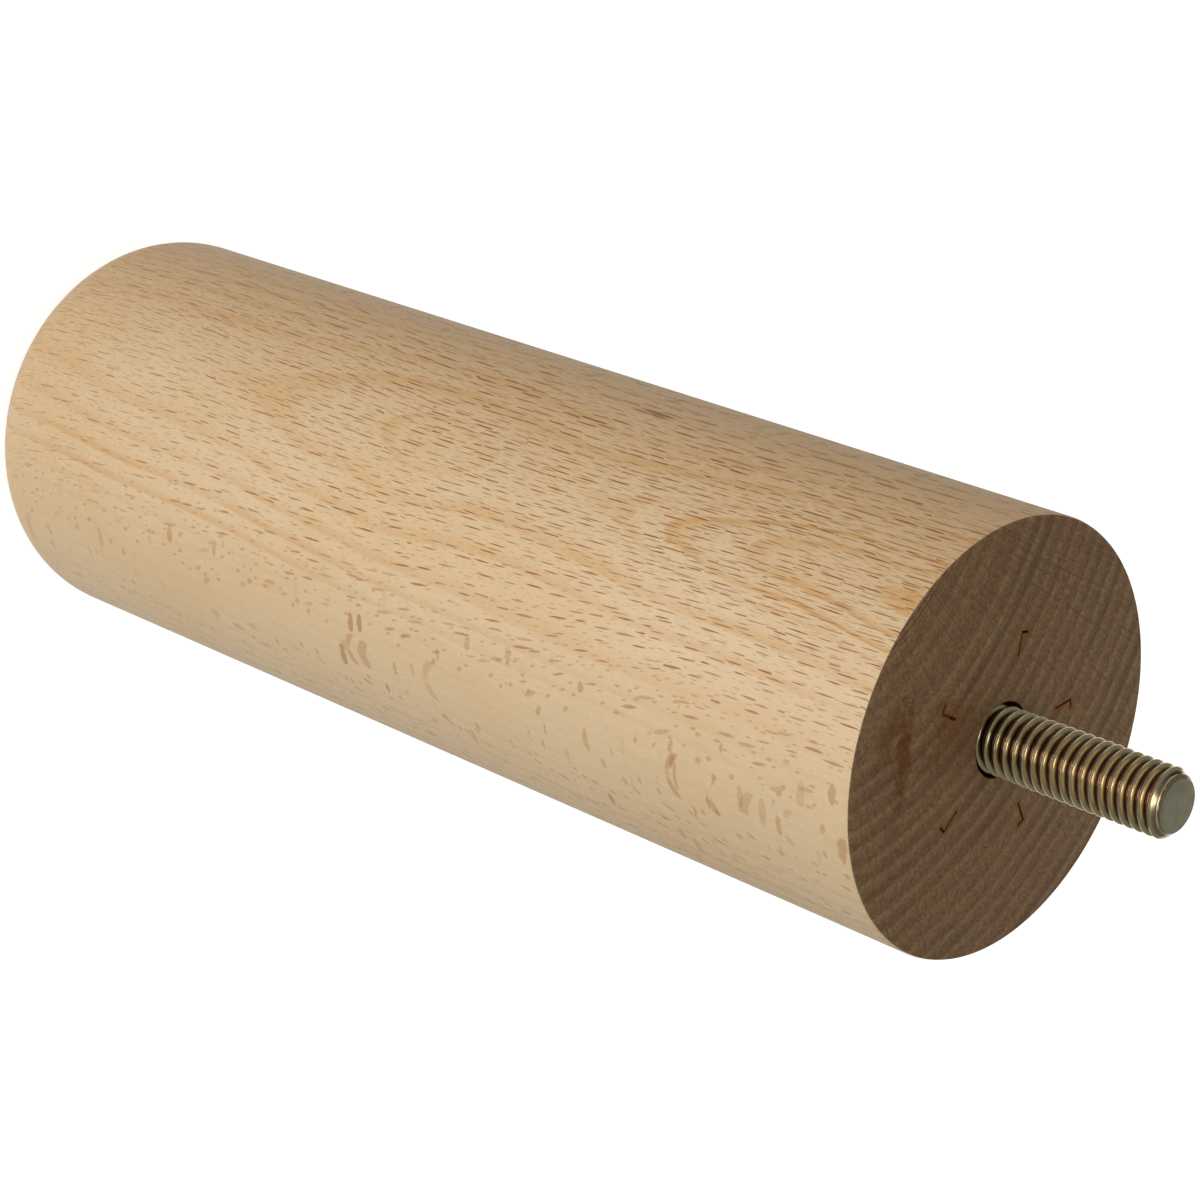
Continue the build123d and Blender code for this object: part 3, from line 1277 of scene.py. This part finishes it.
shank_outline = [
    (0.0, screw_top - OVERLAP),
    (SCREW_CORE_RADIUS, screw_top - OVERLAP),
    (SHANK_RADIUS, screw_top + SHANK_RADIUS - SCREW_CORE_RADIUS),
    (SHANK_RADIUS, shank_top + OVERLAP),
    (0.0, shank_top + OVERLAP),
]
shank_mesh = spin_outline(shank_outline, TURN_STEPS)
for mesh in (screw_mesh, shank_mesh):
    copy = bpy.data.meshes.new("copy")
    mesh.to_mesh(copy)
    bolt_mesh.from_mesh(copy)
    bpy.data.meshes.remove(copy)
    mesh.free()

bolt = make_object("hanger_bolt_threaded", bolt_mesh, steel)
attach(bolt, "root")
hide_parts("hanger_bolt")

# %% [markdown]
# ## The floor
#
# The picture has a plain white ground. The floor's colour is pale, and to the camera and to
# mirrors it also glows a little, so that it reads as white while the leg's soft shadow stays.
# %% Floor
FLOOR_GLOW = 0.8
FLOOR_REACH = 3.0  # metres from the leg to the floor's edge

floor_material, ground, ground_shader = new_material("floor_pale_paper")
ground_shader.inputs["Base Color"].default_value = colour("#e9e8e6")
ground_shader.inputs["Roughness"].default_value = 0.9
ground_shader.inputs["Specular IOR Level"].default_value = 0.0
path = add(ground, "LightPath")
seen = path.outputs["Is Camera Ray"]
for other_ray in ("Is Glossy Ray", "Is Transmission Ray"):
    seen = add(ground, "Math", {0: seen, 1: path.outputs[other_ray]}, operation="MAXIMUM")
glow_strength = add(ground, "Math", {0: seen, 1: FLOOR_GLOW}, operation="MULTIPLY")
glow = add(ground, "Emission", {"Color": colour("#ffffff"), "Strength": glow_strength})
both = add(ground, "AddShader", {0: ground_shader, 1: glow})
ground_output = next(node for node in ground.nodes if node.type == "OUTPUT_MATERIAL")
ground.links.new(both.outputs[0], ground_output.inputs["Surface"])

floor_mesh = bmesh.new()
bmesh.ops.create_grid(floor_mesh, x_segments=1, y_segments=1, size=FLOOR_REACH)
floor = make_object("floor", floor_mesh, floor_material)

# %% [markdown]
# ## The world
#
# Behind the floor the camera sees plain white. For the leg the world is a faint cool light from all
# sides, which keeps the shaded end of the leg from going black.
# %% World
SKY_TINT = colour("#eff6f8")
SKY_STRENGTH = 0.27

world = bpy.data.worlds.new("studio")
bpy.context.scene.world = world
world.use_nodes = True
sky = world.node_tree
sky.nodes.clear()
seen_sky = add(sky, "LightPath").outputs["Is Camera Ray"]
sky_strength = add(sky, "MapRange", {"Value": seen_sky, "To Min": SKY_STRENGTH})
sky_colour = add(
    sky,
    "Mix",
    {0: seen_sky, 6: SKY_TINT, 7: colour("#ffffff")},
    data_type="RGBA",
)
background = add(sky, "Background", {"Color": sky_colour.outputs[2], "Strength": sky_strength})
add(sky, "OutputWorld", {"Surface": background})
print("world: strength", SKY_STRENGTH, "on the leg, 1 to the camera")

# %% [markdown]
# ## The lamps
#
# Large rectangular lamps give soft light. They stand all round, with the strongest low in front, so
# the side of the leg is bright and its top, which faces away from them, is in half shade. Each aims
# at the leg's axis, at its own height or at the leg's top if it stands higher.
# %% Lamps
COOL = "#e4f2f6"


def lamp(name, azimuth, distance, height, width, tall, power, tint="#ffffff"):
    """A soft lamp. Its azimuth is -90 in front and 0 at +X, its lengths are in millimetres."""
    data = bpy.data.lights.new(name, "AREA")
    data.shape = "RECTANGLE"
    data.size = width * MM
    data.size_y = tall * MM
    data.energy = power
    data.color = colour(tint)[:3]
    made = bpy.data.objects.new(name, data)
    angle = radians(azimuth)
    made.location = Vector((distance * cos(angle), distance * sin(angle), height)) * MM
    aim = Vector((0, 0, min(height, leg_length))) * MM
    made.rotation_euler = (aim - made.location).to_track_quat("-Z", "Y").to_euler()
    bpy.context.scene.collection.objects.link(made)


lamp("key", -83.0, 700.0, 78.0, 500.0, 130.0, power=2.95)
lamp("fill_left", 180.0, 900.0, 260.0, 500.0, 500.0, power=0.25, tint=COOL)
lamp("fill_right", 10.0, 900.0, 260.0, 500.0, 500.0, power=0.12, tint=COOL)
lamp("back", 95.0, 900.0, 300.0, 500.0, 500.0, power=1.2)
lamp("overhead", -90.0, 20.0, 800.0, 140.0, 320.0, power=0.6)

bpy.context.scene.view_settings.view_transform = "Standard"
print("lamps:", len(bpy.data.lights))
